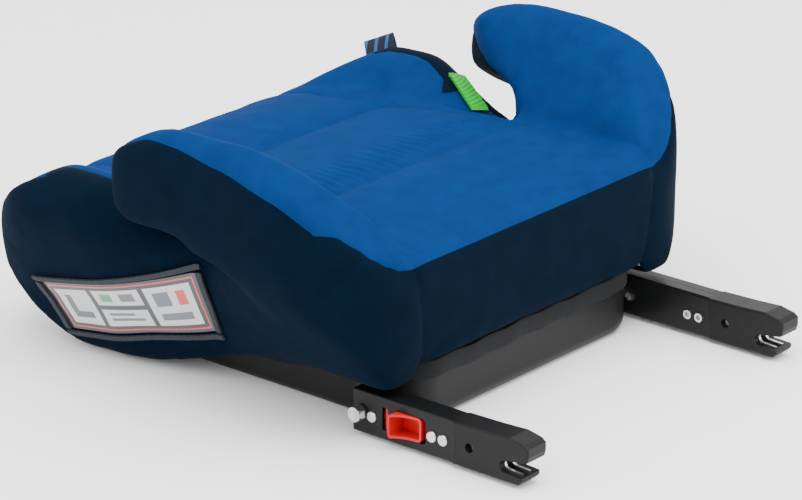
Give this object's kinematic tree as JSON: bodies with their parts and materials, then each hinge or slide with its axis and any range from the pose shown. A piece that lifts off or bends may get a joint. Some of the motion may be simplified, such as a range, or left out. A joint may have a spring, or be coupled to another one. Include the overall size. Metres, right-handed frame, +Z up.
{
  "type": "backless booster seat",
  "caption": "Backless child booster seat with curled armrests over belt gaps and two rigid lower-anchorage arms with release sliders.",
  "frame": {"origin": "on the floor, in the middle of the outline in X and Y", "axes": "+Z up, -Y towards the front of the seat, +X towards the child's left"},
  "size_m": [0.4062, 0.4603, 0.194],
  "materials": {
    "black_plastic": "satin moulded polypropylene",
    "foam_core": "expanded foam",
    "pad_foam": "soft open-cell foam",
    "blue_fabric": "fine ribbed knit",
    "navy_fabric": "fine ribbed knit",
    "elastic": "woven elastic and binding tape",
    "printed_card": "printed card behind a clear film",
    "woven_tag": "woven ribbon",
    "green_ribbon": "satin ribbon",
    "black_paint": "satin powder coat",
    "cap_plastic": "fine-textured polyamide",
    "red_plastic": "gloss moulded",
    "dark_washer": "black oxide",
    "spring_steel": "drawn wire",
    "zinc_steel": "bright zinc plate"
  },
  "bodies": {
    "seat": {"armrest_core_left": "foam_core", "armrest_core_right": "foam_core", "axle_rod": "zinc_steel", "base_shell": "black_plastic", "belt_loop_left": "green_ribbon", "belt_loop_right": "green_ribbon", "cover_armrest_left": "blue_fabric", "cover_armrest_right": "blue_fabric", "cover_rear": "navy_fabric", "cover_seat": "blue_fabric", "cover_side_left": "navy_fabric", "cover_side_right": "navy_fabric", "front_tag": "woven_tag", "hem_elastic": "elastic", "label_binding": "elastic", "label_card": "printed_card", "pivot_bush_left": "zinc_steel", "pivot_bush_right": "zinc_steel", "pivot_nut_left": "zinc_steel", "pivot_nut_right": "zinc_steel", "pivot_washer_left": "dark_washer", "pivot_washer_right": "dark_washer", "seat_core": "foam_core", "seat_pad": "pad_foam", "side_core_left": "foam_core", "side_core_right": "foam_core", "spacer_tube": "zinc_steel"},
    "arm_left": {"outer_channel_left": "black_paint", "inner_channel_left": "black_paint", "pivot_sleeve_left": "zinc_steel", "rivets_left": "zinc_steel", "hook_cap_left": "cap_plastic", "hook_plates_left": "zinc_steel", "latch_pins_left": "zinc_steel", "slider_spring_left": "spring_steel"},
    "slider_left": {"release_slider_left": "red_plastic", "pull_rod_left": "zinc_steel"},
    "latch_left": {"latch_hook_left": "zinc_steel"},
    "pawl_left": {"lock_pawl_left": "zinc_steel"},
    "arm_right": {"outer_channel_right": "black_paint", "inner_channel_right": "black_paint", "pivot_sleeve_right": "zinc_steel", "rivets_right": "zinc_steel", "hook_cap_right": "cap_plastic", "hook_plates_right": "zinc_steel", "latch_pins_right": "zinc_steel", "slider_spring_right": "spring_steel"},
    "slider_right": {"release_slider_right": "red_plastic", "pull_rod_right": "zinc_steel"},
    "latch_right": {"latch_hook_right": "zinc_steel"},
    "pawl_right": {"lock_pawl_right": "zinc_steel"}
  },
  "joints": [
    {"name": "arm_left_tilt", "type": "hinge", "parent": "seat", "child": "arm_left", "pos_m": [0.14, 0.0898, 0.018], "axis": [1, 0, 0], "range_deg": [-8, 6]},
    {"name": "latch_left_turn", "type": "hinge", "parent": "arm_left", "child": "latch_left", "pos_m": [0.14, 0.205, 0.0265], "axis": [-1, 0, 0], "range_deg": [0, 26]},
    {"name": "slider_left_slide", "type": "slide", "parent": "arm_left", "child": "slider_left", "axis": [0, 1, 0], "range_m": [0, 0.0032], "deforming": ["slider_spring_left"]},
    {"name": "pawl_left_turn", "type": "hinge", "parent": "arm_left", "child": "pawl_left", "pos_m": [0.14, 0.192, 0.012], "axis": [1, 0, 0], "range_deg": [0, 8]},
    {"name": "arm_right_tilt", "type": "hinge", "parent": "seat", "child": "arm_right", "pos_m": [-0.14, 0.0898, 0.018], "axis": [1, 0, 0], "range_deg": [-8, 6]},
    {"name": "latch_right_turn", "type": "hinge", "parent": "arm_right", "child": "latch_right", "pos_m": [-0.14, 0.205, 0.0265], "axis": [-1, 0, 0], "range_deg": [0, 26]},
    {"name": "slider_right_slide", "type": "slide", "parent": "arm_right", "child": "slider_right", "axis": [0, 1, 0], "range_m": [0, 0.0032], "deforming": ["slider_spring_right"]},
    {"name": "pawl_right_turn", "type": "hinge", "parent": "arm_right", "child": "pawl_right", "pos_m": [-0.14, 0.192, 0.012], "axis": [1, 0, 0], "range_deg": [0, 8]}
  ],
  "couplings": [
    {"joint": "latch_left_turn", "follows": "slider_left_slide", "rad_per_m": 141.8},
    {"joint": "pawl_left_turn", "follows": "slider_left_slide", "rad_per_m": 42.5},
    {"joint": "latch_right_turn", "follows": "slider_right_slide", "rad_per_m": 141.8},
    {"joint": "pawl_right_turn", "follows": "slider_right_slide", "rad_per_m": 42.5}
  ]
}
